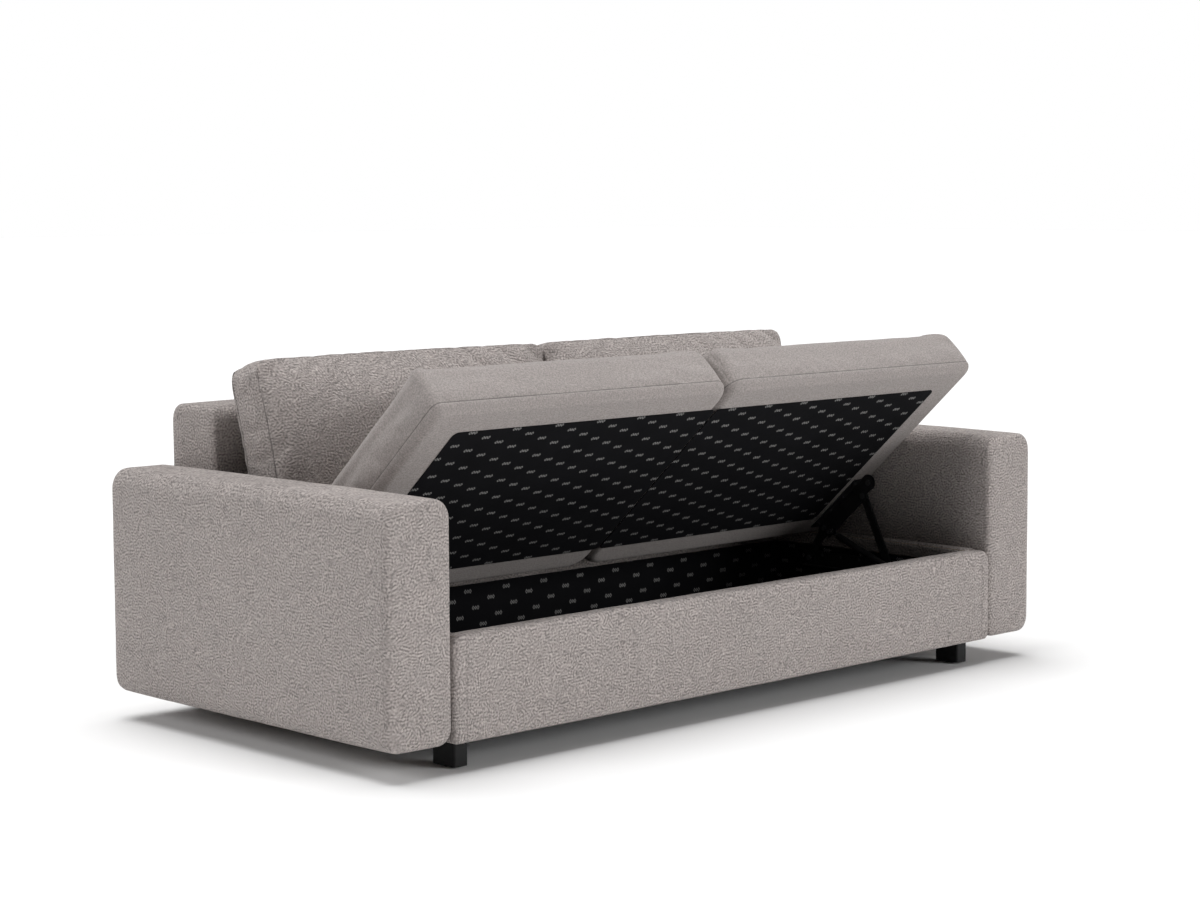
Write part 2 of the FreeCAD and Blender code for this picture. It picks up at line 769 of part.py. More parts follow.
def rail_screw_height():
    return (front_pivot_height + rear_pivot_height) / 2 + rail_height * 0.25


def rail_screw_spots():
    first = front_pivot[0] + rail_screw_margin
    span = rear_pivot[0] - rail_screw_margin - first
    return [first + span * i / (rail_screw_count - 1) for i in range(rail_screw_count)]


def rail_screws():
    screws = []
    for y in rail_screw_spots():
        z = rail_screw_height()
        shank = flats_x(rail_inner, rail_outer + screw_length, y, z, screw_radius, 6)
        head = flats_x(rail_inner - rail_screw_head, rail_inner, y, z, screw_head_radius, 6)
        screws.append(fuse([shank, head]))
    return screws


def base_pin(pivot):
    y, z = pivot
    shank = rod_x(link_inner - hole_clearance, rail_outer, y, z, pivot_radius)
    collar = flats_x(link_outer + hole_clearance, rail_inner, y, z, pivot_head_radius, 12)
    head = flats_x(link_inner - hole_clearance - pivot_head_thick, link_inner - hole_clearance, y, z,
                   pivot_head_radius, 6)
    return fuse([collar, shank, head])


def strut_pin():
    y, z = strut_stud
    eye_out = strut_x + strut_eye_half + hole_clearance
    eye_in = strut_x - strut_eye_half - hole_clearance
    shank = rod_x(eye_in, rail_outer, y, z, strut_stud_radius)
    collar = flats_x(eye_out, rail_inner, y, z, strut_head_radius, 12)
    head = flats_x(eye_in - pivot_head_thick, eye_in, y, z, strut_head_radius, 6)
    return fuse([collar, shank, head])


def along_strut(start, length, radius):
    uy, uz = strut_dy / strut_length, strut_dz / strut_length
    base = vec(strut_x, strut_stud[0] + uy * start, strut_stud[1] + uz * start)
    return Part.makeCylinder(radius, length, base, vec(0, uy, uz))


def strut_cylinder():
    eye = rod_x(strut_x - strut_eye_half, strut_x + strut_eye_half, strut_stud[0], strut_stud[1],
                strut_eye_radius)
    tube = along_strut(tube_start - strut_tube_weld, tube_end - tube_start + strut_tube_weld,
                       strut_radius)
    hole = rod_x(strut_x - strut_radius - 1, strut_x + strut_radius + 1, strut_stud[0], strut_stud[1],
                 strut_stud_radius + running_clearance)
    bore_start = piston_start - strut_bore_past
    bore = along_strut(bore_start, tube_end - strut_gland - bore_start, strut_radius - strut_wall)
    mouth = along_strut(tube_end - strut_gland - 1, strut_gland + 2, strut_rod_radius + running_clearance)
    return fuse([eye, tube]).cut(hole).cut(bore).cut(mouth)


# Rod with its piston, and an eye whose pin stops short of the seat bracket
def strut_rod():
    piston = along_strut(piston_start, strut_piston, strut_radius - strut_wall - running_clearance * 2)
    rod = along_strut(piston_start + strut_piston, strut_length - piston_start - strut_piston,
                      strut_rod_radius)
    eye = rod_x(strut_x - strut_eye_half, strut_x + strut_eye_half, strut_eye[0], strut_eye[1],
                strut_eye_radius)
    pin = rod_x(strut_x + strut_eye_half, bracket_inner - opened_pivot_gap, strut_eye[0], strut_eye[1],
                pivot_radius)
    return fuse([piston, rod, eye, pin])


# Feet: a rounded black block, a felt glide under it and a bolt up into the base
def leg_spots():
    x = half_width - leg_from_outside - leg_width
    y0 = arm_front + leg_from_front - arm_setback
    return [(-x - leg_width, y0), (x, y0), (-x - leg_width, -y0 - leg_length), (x, -y0 - leg_length)]


def leg(x, y):
    rings = [ring((x, y), (x + leg_width, y + leg_length), [leg_round] * 4, (0, 0, 0, 0),
                  lambda a, b: vec(a, b, z), 1) for z in (glide_thick, base_bottom)]
    return loft(rings)


def glide(x, y):
    return flats_z(x + leg_width / 2, y + leg_length / 2, 0, glide_thick, glide_radius, glide_flats)


def leg_bolt(x, y):
    top = board_low if y < 0 else base_bottom + upholstery_pad
    return flats_z(x + leg_width / 2, y + leg_length / 2, base_bottom - leg_bolt_reach,
                   top + leg_bolt_grip, leg_bolt_radius, 6)


def main():
    seat_at = seat_place()
    for name, right_side in (("left", False), ("right", True)):
        cushion, frame, cover, straps = seat_module(right_side)
        save("seat_cushion_" + name, placed(cushion, seat_at))
        save("seat_frame_" + name, placed(frame, seat_at))
        save("seat_underside_" + name, placed(cover, seat_at))
        save("seat_webbing_" + name, placed(Part.makeCompound(straps), seat_at))
    save("seat_joining_bolts", placed(Part.makeCompound(seat_joining_bolts()), seat_at))
    save("bracket_screws", placed(Part.makeCompound(bracket_screws()), seat_at))
    bracket = placed(seat_bracket(), seat_at)
    save("seat_brackets", Part.makeCompound([bracket, flip(bracket)]))
    pins = [placed(seat_rear_pin(), seat_at)] + [placed(p, seat_at) for p in seat_rivet_heads()]
    save("seat_pivot_pins", Part.makeCompound(pins + [flip(p) for p in pins]))

    place = cushion_place()
    outer = arm_inner - cushion_end_gap
    for name, x0, x1 in (("left", -outer, -cushion_split / 2), ("right", cushion_split / 2, outer)):
        save("back_cushion_" + name, flat_foot(placed(back_cushion(x0, x1), place)))

    arm_cover, arm_frame = arm_parts()
    save("arm_cover_right", arm_cover)
    save("arm_cover_left", flip(arm_cover))
    save("arm_frame_right", arm_frame)
    save("arm_frame_left", flip(arm_frame))
    bolts = arm_bolts()
    save("arm_bolts", Part.makeCompound(bolts + [flip(b) for b in bolts]))

    front_cover, front_board = front_wall_parts()
    save("front_cover", front_cover)
    save("front_board", front_board)
    side_cover, side_board = side_wall_parts()
    save("side_rim_right", side_cover)
    save("side_rim_left", flip(side_cover))
    save("side_board_right", side_board)
    save("side_board_left", flip(side_board))
    rear_board, deck_panel, deck_cover = rear_parts()
    save("rear_board", rear_board)
    save("deck_panel", deck_panel)
    save("deck_cover", deck_cover)
    save("storage_lining", lining_part())
    panel, dust = floor_parts()
    back_cover, back_frame = backrest_parts()

    rail = base_rail()
    save("base_rails", Part.makeCompound([rail, flip(rail)]))
    screws = rail_screws()
    save("rail_screws", Part.makeCompound(screws + [flip(s) for s in screws]))
    pins = [base_pin(rear_pivot), base_pin(front_pivot), strut_pin()]
    save("base_pivot_pins", Part.makeCompound(pins + [flip(p) for p in pins]))
    for name, shape in (("rear_links", rear_link()), ("front_links", front_link()),
                        ("strut_cylinders", strut_cylinder()), ("strut_rods", strut_rod())):
        save(name, Part.makeCompound([shape, flip(shape)]))
    rivet = front_link_rivet()
    save("front_link_rivets", Part.makeCompound([rivet, flip(rivet)]))

    legs = []
    glides = []
    leg_bolts = []
    for x, y in leg_spots():
        legs.append(leg(x, y))
        glides.append(glide(x, y))
        leg_bolts.append(leg_bolt(x, y))
    save("backrest_cover", back_cover)
    save("backrest_frame", back_frame)
    save("floor_panel", panel)
    save("dust_cover", dust)
    save("legs", Part.makeCompound(legs))
    save("leg_glides", Part.makeCompound(glides))
    save("leg_bolts", Part.makeCompound(leg_bolts))


main()
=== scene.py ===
import json
import math
import bpy
import numpy as np
from mathutils import Matrix, Vector, noise


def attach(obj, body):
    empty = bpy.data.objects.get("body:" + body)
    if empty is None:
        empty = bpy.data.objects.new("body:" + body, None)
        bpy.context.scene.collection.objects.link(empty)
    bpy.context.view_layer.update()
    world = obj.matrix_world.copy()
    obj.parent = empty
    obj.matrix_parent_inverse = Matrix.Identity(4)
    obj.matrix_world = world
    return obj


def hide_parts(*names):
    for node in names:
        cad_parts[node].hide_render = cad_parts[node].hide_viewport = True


# Looks of a storage sofa whose seat stands open on its lift. Metres, row frame: front at -Y,
# +X to the right as one faces it, +Z up, the origin on the floor under the middle.
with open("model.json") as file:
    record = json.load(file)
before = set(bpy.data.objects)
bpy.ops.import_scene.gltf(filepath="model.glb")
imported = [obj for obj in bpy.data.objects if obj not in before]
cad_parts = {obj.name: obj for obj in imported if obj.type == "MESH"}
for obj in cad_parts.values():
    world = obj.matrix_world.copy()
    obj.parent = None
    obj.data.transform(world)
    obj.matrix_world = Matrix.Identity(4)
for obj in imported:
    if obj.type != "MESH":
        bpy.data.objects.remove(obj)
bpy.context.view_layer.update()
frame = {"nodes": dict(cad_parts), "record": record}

# Where the solids lie. The seat has its own frame when it is open: x along the sofa, s back from
# its front seam and n up from its frame's top.
OPEN = math.radians(42.3)
SEAM = Vector((0.0, -0.4628, 0.8057))
SEAT_LONG, SEAT_HALF, SEAT_SPLIT = 0.732, 0.933, 0.0015
SEAT_TOP, SEAT_UNDER, SEAT_CROWN = 0.118, 0.024, 0.006
CLOSED_SEAT_TOP = 0.457
ARM_FRONT, ARM_BACK = -0.5245, 0.5305
ARM_IN, ARM_OUT = 0.940, 1.120
ARM_LOW, ARM_TOP = 0.067, 0.606
BASE_LOW, BASE_FRONT, BASE_HALF = 0.065, -0.5305, 0.939
WALL_TOP, RIM_TOP, DECK_TOP, RIM_LOW = 0.3045, 0.3055, 0.300, 0.267
BOX_IN, BOX_FRONT, BOX_REAR, BOX_FLOOR = 0.9025, -0.4795, 0.1975, 0.0786
BACKREST_HALF, BACKREST_FRONT, BACKREST_REAR, BACKREST_TOP = 0.937, 0.3455, 0.5215, 0.751
FOOT = Vector((0.0, 0.097564, 0.464))
LEAN = math.radians(15.0)
CUSHION_HIGH, CUSHION_THICK = 0.418, 0.104
CUSHION_END, CUSHION_SPLIT = 0.915, 0.0015

# Where an upholstered skin is cut into faces: at its corners, its rolled ends and its seams
CORNER_SHARES = (0.0, 0.1, 0.22, 0.37, 0.55, 0.76, 1.0)
ROLL_DEGREES = (0, 18, 36, 54, 72, 90)
BESIDE_SEAM = (-0.0042, -0.0014, 0.0, 0.0014, 0.0042)
NARROWEST_CUT = 0.0009
TINY = 1e-6


def rolled(lo, hi, step, edges_lo, edges_hi, extra=()):
    """Cut positions from lo to hi: close together near both ends, even in the middle."""
    a, b = lo + max(edges_lo, default=0.0), hi - max(edges_hi, default=0.0)
    count = max(1, math.ceil((b - a) / step))
    found = [lo + d for d in edges_lo] + [hi - d for d in edges_hi] + list(extra)
    found = sorted(found + [a + (b - a) * i / count for i in range(count + 1)])
    kept = [found[0]]
    for value in found[1:]:
        if value - kept[-1] > NARROWEST_CUT:
            kept.append(value)
    kept[-1] = hi
    return kept


def roll_cuts(radius):
    return [radius * (1 - math.cos(math.radians(t))) for t in ROLL_DEGREES]


def corner_cuts(radius):
    return [radius * share for share in CORNER_SHARES]


def seam_cuts(stations):
    return [at + d for at in stations for d in BESIDE_SEAM]


def lattice(xs, ys, zs):
    """Skin of a box cut along the given planes: its points and quads."""
    nx, ny, nz = len(xs) - 1, len(ys) - 1, len(zs) - 1
    index, points, quads = {}, [], []

    def at(i, j, k):
        if (i, j, k) not in index:
            index[(i, j, k)] = len(points)
            points.append((xs[i], ys[j], zs[k]))
        return index[(i, j, k)]

    for j in range(ny):
        for k in range(nz):
            quads.append((at(0, j, k), at(0, j, k + 1), at(0, j + 1, k + 1), at(0, j + 1, k)))
            quads.append((at(nx, j, k), at(nx, j + 1, k), at(nx, j + 1, k + 1), at(nx, j, k + 1)))
    for i in range(nx):
        for k in range(nz):
            quads.append((at(i, 0, k), at(i + 1, 0, k), at(i + 1, 0, k + 1), at(i, 0, k + 1)))
            quads.append((at(i, ny, k), at(i, ny, k + 1), at(i + 1, ny, k + 1), at(i + 1, ny, k)))
    for i in range(nx):
        for j in range(ny):
            quads.append((at(i, j, 0), at(i, j + 1, 0), at(i + 1, j + 1, 0), at(i + 1, j, 0)))
            quads.append((at(i, j, nz), at(i + 1, j, nz), at(i + 1, j + 1, nz), at(i, j + 1, nz)))
    return np.array(points), quads


def placed(name, data):
    """New object in the scene that shows the given mesh, lamp or camera."""
    obj = bpy.data.objects.new(name, data)
    bpy.context.scene.collection.objects.link(obj)
    return obj


def mesh_object(name, points, quads, seams=None, uv=None):
    """Smooth mesh, with the painted seam shade at each point and its place on the cloth if given.
    """
    mesh = bpy.data.meshes.new(name)
    mesh.from_pydata([tuple(p) for p in points], [], quads)
    mesh.validate()
    if seams is not None:
        # The seam attribute sets how much shade the fabric paints along a seam's groove
        mark = mesh.attributes.new("seam", "FLOAT", "POINT")
        mark.data.foreach_set("value", np.asarray(seams, dtype=np.float32))
    if uv is not None:
        corner = np.empty(len(mesh.loops), dtype=np.int32)
        mesh.loops.foreach_get("vertex_index", corner)
        layer = mesh.uv_layers.new(name="UVMap")
        layer.data.foreach_set("uv", uv[corner].astype(np.float32).ravel())
    for polygon in mesh.polygons:
        polygon.use_smooth = True
    return placed(name, mesh)


def coordinates(mesh):
    flat = np.empty(len(mesh.vertices) * 3)
    mesh.vertices.foreach_get("co", flat)
    return flat.reshape(-1, 3)


def set_coordinates(mesh, points):
    mesh.vertices.foreach_set("co", points.ravel())
    mesh.update()


def point_normals(points, quads):
    """Area-weighted normals at the points of a quad mesh."""
    q = np.array(quads)
    face = np.cross(points[q[:, 2]] - points[q[:, 0]], points[q[:, 3]] - points[q[:, 1]])
    out = np.zeros_like(points)
    for corner in range(4):
        np.add.at(out, q[:, corner], face)
    return out / np.maximum(np.linalg.norm(out, axis=1), 1e-12)[:, None]


SEED_STEP = (7.13, 3.7, 1.9)
MOST_ROUND = 0.98


def rough(points, waves, seed):
    """Smooth random value from -1 to 1 at each point, with so many waves in a metre."""
    shift = Vector([seed * step for step in SEED_STEP])
    return np.array([noise.noise(Vector(p) * waves + shift) for p in points])


def round_corners(a, b, half_a, half_b, radii):
    """Bends the square outline of (a, b), both measured from the middle, to corner radii."""
    r = np.where(a < 0, np.where(b < 0, radii[0], radii[3]), np.where(b < 0, radii[1], radii[2]))
    r = np.minimum(r, np.minimum(half_a, half_b) * MOST_ROUND)
    da, db = np.abs(a) - (half_a - r), np.abs(b) - (half_b - r)
    inside = (da > 0) & (db > 0)
    far = np.where(inside, np.hypot(da, db), 1.0)
    pull = np.where(inside, np.maximum(da, db) / far, 1.0)
    a2 = np.where(inside, np.sign(a) * (half_a - r + da * pull), a)
    b2 = np.where(inside, np.sign(b) * (half_b - r + db * pull), b)
    return a2, b2


def quarter_round(radius, depth):
    """How far a rounded edge stands back, so deep into its radius."""
    return radius - np.sqrt(np.maximum(radius * radius - depth * depth, 0))


# A seam of a bar: how deep its groove is and half how wide
GROOVE, GROOVE_WIDE = 0.0008, 0.0016
# Over this share a normal belongs to a face and not to its edge
FACING = 0.7
# Power that keeps a bar's panels full up to near their edges
FULLNESS = 5
# A bar's unevenness: its waves in a metre, and how much lower the fine ones are
BROAD_WAVES, FINE_WAVES, FINE_SHARE = 5.0, 17.0, 0.5


def padded_bar(name, along, low, high, radii, rolls, step, swell, seams=(), cross_seams=(), seed=1,
               uneven=0.0008, seam_shade=0.45):
    """Upholstered bar along one axis (0 or 1): corner radii of its outline, rolled ends, seams
    round it at the given stations or across it, panels that swell a little. Its last argument is
    how much shade is painted along its seams."""
    across = 1 - along
    c0, c1 = low[along], high[along]
    a0, a1 = low[across], high[across]
    b0, b1 = low[2], high[2]
    corner = corner_cuts(max(radii))
    cs = rolled(c0, c1, step, roll_cuts(rolls[0]), roll_cuts(rolls[1]), seam_cuts(seams))
    sa = rolled(a0, a1, step, corner, corner, seam_cuts(cross_seams))
    sb = rolled(b0, b1, step, corner, corner)
    points, quads = lattice(sa, cs, sb) if along else lattice(cs, sa, sb)
    middle_a, middle_b = (a0 + a1) / 2, (b0 + b1) / 2
    half_a, half_b = (a1 - a0) / 2, (b1 - b0) / 2
    c, a, b = points[:, along], points[:, across] - middle_a, points[:, 2] - middle_b
    shares = {across: a / half_a, 2: b / half_b, along: (2 * c - c0 - c1) / (c1 - c0)}
    a, b = round_corners(a, b, half_a, half_b, radii)
    inset = np.zeros_like(c)
    for depth, radius in ((c - c0, rolls[0]), (c1 - c, rolls[1])):
        inset = np.maximum(inset, quarter_round(radius, np.clip(radius - depth, 0, radius)))
    out = np.zeros_like(points)
    out[:, along] = c
    out[:, across] = a * (half_a - inset) / half_a + middle_a
    out[:, 2] = b * (half_b - inset) / half_b + middle_b
    normals = point_normals(out, quads)
    hump = np.ones(len(out))
    for axis, share in shares.items():
        edge_fall = 1 - np.clip(np.abs(share), 0, 1) ** FULLNESS
        hump *= np.where(np.abs(normals[:, axis]) > FACING, 1.0, edge_fall)
    out += normals * (swell * hump)[:, None]
    broad, fine = rough(out, BROAD_WAVES, seed), rough(out, FINE_WAVES, seed + 3)
    out += normals * (uneven * broad + uneven * FINE_SHARE * fine)[:, None]
    mark = np.zeros(len(out))
    for places, stations in ((c, seams), (out[:, across], cross_seams)):
        for at in stations:
            mark = np.maximum(mark, np.exp(-((places - at) / GROOVE_WIDE) ** 2))
    out -= normals * (GROOVE * mark)[:, None]
    # The seam marks also carry the shade painted along the seams
    return mesh_object(name, out, quads, mark * seam_shade)


PILLOW_POWER = 2.6


def pillow(edge_a, edge_b, wide_a, wide_b):
    """0 at the seams to 1 in the middle, for distances from the two pairs of edges."""
    fa = 1 - (1 - np.clip(edge_a / wide_a, 0, 1)) ** PILLOW_POWER
    fb = 1 - (1 - np.clip(edge_b / wide_b, 0, 1)) ** PILLOW_POWER
    return fa * fb


CLOTH_FRAMES = 20
CLOTH = {"quality": 5, "mass": 0.4, "tension_stiffness": 22, "compression_stiffness": 12,
         "shear_stiffness": 8, "bending_stiffness": 0.4, "use_pressure": True,
         "vertex_group_mass": "pin"}


def inflate(obj, fixed, pressure, most, slack):
    """Cloth simulation: the panels fill out between the pinned seams, moved by at most `most`."""
    pin = obj.vertex_groups.new(name="pin")
    pin.add([int(i) for i in np.flatnonzero(fixed)], 1.0, "REPLACE")
    start = coordinates(obj.data)
    cloth = obj.modifiers.new("cloth", "CLOTH")
    cloth.point_cache.frame_start = 1
    cloth.point_cache.frame_end = CLOTH_FRAMES
    for key, value in CLOTH.items():
        setattr(cloth.settings, key, value)
    cloth.settings.uniform_pressure_force = pressure
    cloth.settings.shrink_min = -slack
    cloth.settings.effector_weights.gravity = 0
    cloth.collision_settings.use_collision = False
    scene = bpy.context.scene
    for number in range(1, CLOTH_FRAMES + 1):
        scene.frame_set(number)
    seen = obj.evaluated_get(bpy.context.evaluated_depsgraph_get())
    step = coordinates(seen.data) - start
    obj.modifiers.remove(cloth)
    scene.frame_set(1)
    size = np.linalg.norm(step, axis=1)
    step *= np.minimum(1.0, most / np.maximum(size, 1e-9))[:, None]
    set_coordinates(obj.data, start + step)


def smooth_cut(obj):
    more = obj.modifiers.new("smooth", "SUBSURF")
    more.levels = more.render_levels = 1


# Back cushions, drawn as (x, w, u): w from the front panel to the rear one, u up from the middle
CUSHION_CORNER, CUSHION_STEP = 0.034, 0.012
BORDER_CUTS = [0.0, 0.004, 0.011]
# How far the seams are drawn in at the ends, and lifted at the top and the foot
DRAW_IN, SEAM_LIFT, TOP_LIFT_SHARE = 0.005, 0.004, 0.6
BORDER_BELLY, SEAM_WANDER, SEAM_WAVES = 0.002, 0.0015, 6.0
# Each panel's fullness before the simulation, and how wide its slopes are
FRONT_PANEL, REAR_PANEL = (0.036, 0.22, 0.125), (0.05148, 0.20, 0.10)
# The fold beside a seam: how far it bulges past it, and how wide it is
FOLD, FOLD_WIDE = 0.007, 0.014
CUSHION_FILL = {"pressure": 3.6, "most": 0.024, "slack": 0.02}


def back_cushion(name, x0, x1, seed):
    half, tall, middle = (x1 - x0) / 2, CUSHION_HIGH / 2, (x0 + x1) / 2
    corner = corner_cuts(CUSHION_CORNER)
    xs = rolled(-half, half, CUSHION_STEP, corner, corner)
    us = rolled(-tall, tall, CUSHION_STEP, corner, corner)
    ws = rolled(0.0, CUSHION_THICK, CUSHION_STEP, BORDER_CUTS, BORDER_CUTS)
    points, quads = lattice(xs, ws, us)
    x, w, u = points.T
    edge_x, edge_u = half - np.abs(x), tall - np.abs(u)
    at_end, at_top_or_foot = edge_x < TINY, edge_u < TINY
    rim = at_end | at_top_or_foot
    front, rear = w < TINY, w > CUSHION_THICK - TINY
    fixed = (front | rear) & rim
    x, u = round_corners(x, u, half, tall, [CUSHION_CORNER] * 4)
    draw = DRAW_IN * np.cos(np.clip(u / CUSHION_HIGH, -0.5, 0.5) * math.pi)
    x = np.where(at_end, x - np.sign(x) * draw, x)
    lift = SEAM_LIFT * np.cos(np.clip(x / (2 * half), -0.5, 0.5) * math.pi)
    u = np.where(at_top_or_foot, u + lift * np.where(u > 0, TOP_LIFT_SHARE, 1.0), u)
    belly = BORDER_BELLY * np.sin(np.pi * np.clip(w / CUSHION_THICK, 0, 1))
    x = np.where(at_end, x + np.sign(x) * belly, x)
    u = np.where(at_top_or_foot, u + np.sign(u) * belly, u)
    for panel, sign, (crown, wide_x, wide_u) in ((front, -1, FRONT_PANEL), (rear, 1, REAR_PANEL)):
        w = np.where(panel, w + sign * crown * pillow(edge_x, edge_u, wide_x, wide_u), w)
    open_panel = np.where((front | rear) & ~rim, 1.0, 0.0)
    for edge, at in ((edge_x, x), (edge_u, u)):
        at += np.sign(at) * FOLD * (edge / FOLD_WIDE) * np.exp(1 - edge / FOLD_WIDE) * open_panel
    w = w + np.where(rim, SEAM_WANDER * rough(points, SEAM_WAVES, seed), 0.0)
    up = u + tall
    leant = np.stack([x + middle,
                      FOOT.y + w * math.cos(LEAN) + up * math.sin(LEAN),
                      FOOT.z - w * math.sin(LEAN) + up * math.cos(LEAN)], axis=1)
    # The pinned seam points get the full painted seam shade
    obj = mesh_object(name, leant, quads, np.where(fixed, 1.0, 0.0))
    inflate(obj, fixed, **CUSHION_FILL)
    rest_on_seat(obj)
    smooth_cut(obj)
    return obj


# Room left between a back cushion and what it leans on or meets, and the share of what went too
# far that is kept, so that the flattened foot and back stay a little uneven
SEAT_ROOM, BACK_ROOM, OVER_BACKREST, KEPT_SHARE = 0.002, 0.0015, 0.01, 0.02


def rest_on_seat(obj):
    """Presses the cushion's foot flat where the closed seat comes under it, and keeps its back
    and its front off the backrest and the open seat."""
    co = coordinates(obj.data)
    floor = CLOSED_SEAT_TOP + SEAT_ROOM
    co[:, 2] = np.where(co[:, 2] < floor, floor + (co[:, 2] - floor) * KEPT_SHARE, co[:, 2])
    wall = BACKREST_FRONT - BACK_ROOM
    too_far = (co[:, 1] > wall) & (co[:, 2] < BACKREST_TOP + OVER_BACKREST)
    co[:, 1] = np.where(too_far, wall + (co[:, 1] - wall) * KEPT_SHARE, co[:, 1])
    y, z = co[:, 1] - SEAM.y, co[:, 2] - SEAM.z
    n = y * math.sin(OPEN) + z * math.cos(OPEN)
    s = y * math.cos(OPEN) - z * math.sin(OPEN)
    push = np.maximum(np.where(s < SEAT_LONG, (SEAT_TOP + SEAT_CROWN + SEAT_ROOM) - n, 0.0), 0)
    co[:, 1] += push * math.sin(OPEN)
    co[:, 2] += push * math.cos(OPEN)
    set_coordinates(obj.data, co)


def seat_place(points):
    """Points drawn as (x, s, n) in the seat's frame, put where the open seat has them."""
    x, s, n = points.T
    return np.stack([x, SEAM.y + s * math.cos(OPEN) + n * math.sin(OPEN),
                     SEAM.z - s * math.sin(OPEN) + n * math.cos(OPEN)], axis=1)


# Seat modules: corner radii seen from above where the two meet and at the outer ends, the roll of
# the top edge, and the heights of the cuts from the turned-in underside up
JOIN_CORNER, END_CORNER, SEAT_STEP = 0.046, 0.020, 0.013
SEAT_ROLL, UNDER_SHARE = 0.034, 0.85
SEAT_CUTS = [-0.024, -0.0232, -0.0205, -0.016, -0.0105, -0.005, -0.002, 0.0, 0.002, 0.006, 0.013,
             0.024, 0.037, 0.050, 0.063, 0.076, 0.086, 0.0945, 0.1025, 0.1095, 0.1147, 0.1175,
             SEAT_TOP]
FRONT_BULGE, BULGE_BELOW_TOP = 0.007, 0.01
CROWN_WIDE_X, CROWN_WIDE_S = 0.18, 0.16
SEAT_GROOVE = 0.0016
SEAT_FILL = {"pressure": 1.6, "most": 0.009, "slack": 0.006}


def seat_module(name, x0, x1, join_is_low):
    """Seat cushion with its seam at n = 0; under the seam the fabric turns in to the frame."""
    half, reach, middle = (x1 - x0) / 2, SEAT_LONG / 2, (x0 + x1) / 2
    corner = corner_cuts(JOIN_CORNER)
    points, quads = lattice(rolled(-half, half, SEAT_STEP, corner, corner),
                            rolled(-reach, reach, SEAT_STEP, corner, corner), SEAT_CUTS)
    x, s, n = points.T
    edge_x, edge_s = half - np.abs(x), reach - np.abs(s)
    side = np.minimum(edge_x, edge_s) < TINY
    bottom = n < -SEAT_UNDER + TINY
    at_seam = side & (np.abs(n) < TINY)
    low, high = (JOIN_CORNER, END_CORNER) if join_is_low else (END_CORNER, JOIN_CORNER)
    x, s = round_corners(x, s, half, reach, [low, high, high, low])
    inset = np.where(n < 0, UNDER_SHARE * quarter_round(SEAT_UNDER, np.clip(-n, 0, SEAT_UNDER)),
                     quarter_round(SEAT_ROLL, np.clip(n - (SEAT_TOP - SEAT_ROLL), 0, SEAT_ROLL)))
    x, s = x * (half - inset) / half, s * (reach - inset) / reach
    bulge = FRONT_BULGE * np.sin(np.pi * np.clip(n / (SEAT_TOP - BULGE_BELOW_TOP), 0, 1))
    along = np.cos(np.clip(x / half, -1, 1) * math.pi / 2) ** 0.5
    s = np.where(side & (edge_s < TINY) & (s < 0), s - bulge * along, s)
    crown = SEAT_CROWN * pillow(edge_x, edge_s, CROWN_WIDE_X, CROWN_WIDE_S)
    fixed = bottom | at_seam | (side & (n < 0))
    n = np.where(n > SEAT_TOP - TINY, n + crown, n)
    # mark sinks the seam into a groove and sets the shade painted along it
    mark = np.where(at_seam, 1.0, 0.0)
    shape = np.stack([x + middle, s + reach, n], axis=1)
    shape -= point_normals(shape, quads) * (SEAT_GROOVE * mark)[:, None]
    obj = mesh_object(name, seat_place(shape), quads, mark)
    inflate(obj, fixed, **SEAT_FILL)
    smooth_cut(obj)
    return obj


# The two black covers under the seat, laid on the margin of fabric round each module
COVER_SIDE, COVER_ENDS, COVER_INNER = 0.096, 0.083, 0.003
COVER_CORNER, COVER_STEP, COVER_THICK, COVER_ROOM = 0.016, 0.016, 0.0012, 0.0004
COVER_WAVE, COVER_WAVES, WAVE_FREE = 0.0012, 5.0, 0.05


def under_cover(name, centre, wide, deep, seed):
    """Flat cloth with rounded corners that waves a little away from its edges."""
    corner = corner_cuts(COVER_CORNER)
    points, quads = lattice(rolled(-wide / 2, wide / 2, COVER_STEP, corner, corner),
                            rolled(-deep / 2, deep / 2, COVER_STEP, corner, corner),
                            [0.0, COVER_THICK])
    a, b, lift = points.T
    free = np.clip(np.minimum(wide / 2 - np.abs(a), deep / 2 - np.abs(b)) / WAVE_FREE, 0, 1)
    a, b = round_corners(a, b, wide / 2, deep / 2, [COVER_CORNER] * 4)
    lift = lift + COVER_WAVE * free * rough(np.stack([a, b, a * 0], axis=1), COVER_WAVES, seed)
    shape = np.stack([centre + a, SEAT_LONG / 2 + b, -SEAT_UNDER - COVER_ROOM - lift], axis=1)
    return mesh_object(name, seat_place(shape), quads, uv=np.stack([a, b], axis=1))


# The lining lies so far inside the box's walls, and so far inside the front wall's padding. It
# ends under the rims' fabric.
LINING_ROOM, LINING_FRONT_ROOM, LINING_TOP, LINING_STEP = 0.0004, 0.0036, 0.2665, 0.02
LINING_LEAST, LINING_WAVES = 0.0008, ((4.5, 31, 0.0016), (13.0, 8, 0.0006))


